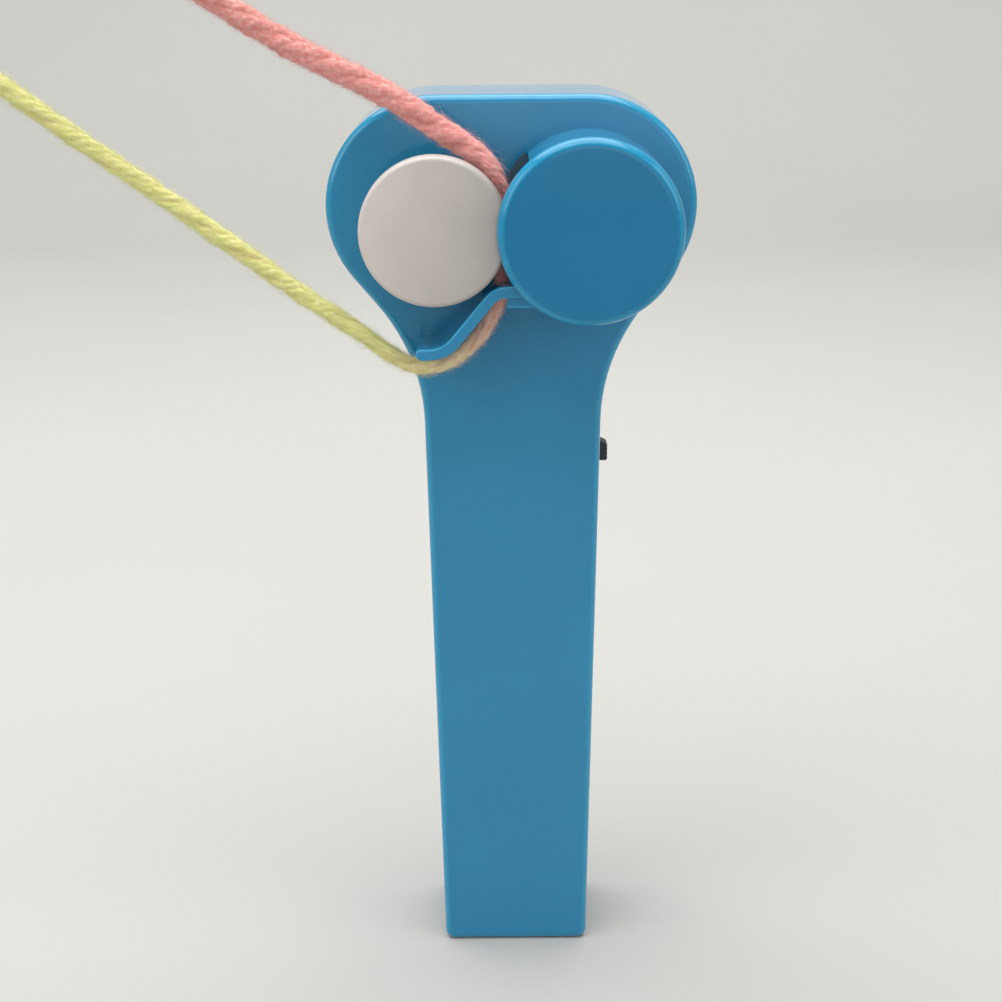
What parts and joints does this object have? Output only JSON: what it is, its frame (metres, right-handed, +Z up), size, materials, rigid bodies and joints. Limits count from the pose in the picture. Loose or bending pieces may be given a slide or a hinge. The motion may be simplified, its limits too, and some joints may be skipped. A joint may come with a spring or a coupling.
{
  "type": "handheld string launcher",
  "caption": "Handheld battery string launcher standing on its handle: flanged wheel, covered drive wheel, guide rib, slide switch and a yarn loop gripped between the wheels.",
  "frame": {"origin": "middle of the body's footprint, on the base of the handle", "axes": "+Z up along the handle, -Y towards the side with the wheels, +X towards the switch"},
  "size_m": [0.1423, 0.0414, 0.213],
  "materials": {
    "case_plastic": "glossy medium blue",
    "cover_plastic": "glossy medium blue",
    "white_plastic": "satin white",
    "gear_plastic": "natural acetal",
    "black_plastic": "satin black",
    "tyre_rubber": "matte",
    "steel": "bright",
    "contact_metal": "nickel plated",
    "bush_metal": "sintered",
    "cell_jacket": "satin",
    "red_insulation": "soft",
    "black_insulation": "soft",
    "pink_yarn": "soft twisted yarn",
    "yellow_yarn": "soft twisted yarn"
  },
  "bodies": {
    "case": {"front_shell": "case_plastic", "rear_shell": "case_plastic", "wheel_cover": "cover_plastic", "well_plate": "black_plastic", "case_screws": "steel", "front_bushes": "bush_metal", "rear_bushes": "bush_metal", "motor_mount": "contact_metal", "mount_screws": "steel", "motor_screws": "steel", "motor_can": "steel", "motor_end_cap": "black_plastic", "motor_terminals": "contact_metal", "switch_body": "contact_metal", "switch_terminals": "contact_metal", "left_cell": "cell_jacket", "right_cell": "cell_jacket", "left_spring": "contact_metal", "right_spring": "contact_metal", "link_contact": "contact_metal", "positive_contact": "contact_metal", "negative_contact": "contact_metal", "battery_to_switch_wire": "red_insulation", "switch_to_motor_wire": "red_insulation", "battery_to_motor_wire": "black_insulation", "string_feed": "pink_yarn", "string_return": "yellow_yarn", "string_knot": "pink_yarn"},
    "drive_wheel": {"drive_hub": "black_plastic", "drive_tyre": "tyre_rubber", "drive_shaft": "steel", "drive_gear": "gear_plastic"},
    "flanged_wheel": {"white_wheel": "white_plastic", "white_wheel_shaft": "steel", "white_wheel_gear": "gear_plastic"},
    "motor_rotor": {"motor_shaft": "steel", "motor_pinion": "gear_plastic"},
    "knob": {"switch_knob": "black_plastic"},
    "door": {"battery_door": "case_plastic", "door_screws": "steel"}
  },
  "joints": [
    {"name": "drive_wheel_spin", "type": "hinge", "parent": "case", "child": "drive_wheel", "pos_m": [0.0144, 0, 0.1566], "axis": [0, 1, 0], "continuous": true},
    {"name": "flanged_wheel_spin", "type": "hinge", "parent": "case", "child": "flanged_wheel", "pos_m": [-0.0144, 0, 0.1566], "axis": [0, 1, 0], "continuous": true},
    {"name": "motor_spin", "type": "hinge", "parent": "case", "child": "motor_rotor", "pos_m": [0.0048, 0, 0.13997], "axis": [0, 1, 0], "continuous": true},
    {"name": "switch_slide", "type": "slide", "parent": "case", "child": "knob", "axis": [0, 0, 1], "range_m": [-0.003, 0]},
    {"name": "battery_door_lift", "type": "slide", "parent": "case", "child": "door", "axis": [0, 1, 0], "range_m": [0, 0.025]}
  ],
  "couplings": [
    {"joint": "flanged_wheel_spin", "follows": "drive_wheel_spin", "ratio": -1},
    {"joint": "motor_spin", "follows": "drive_wheel_spin", "ratio": -3}
  ]
}
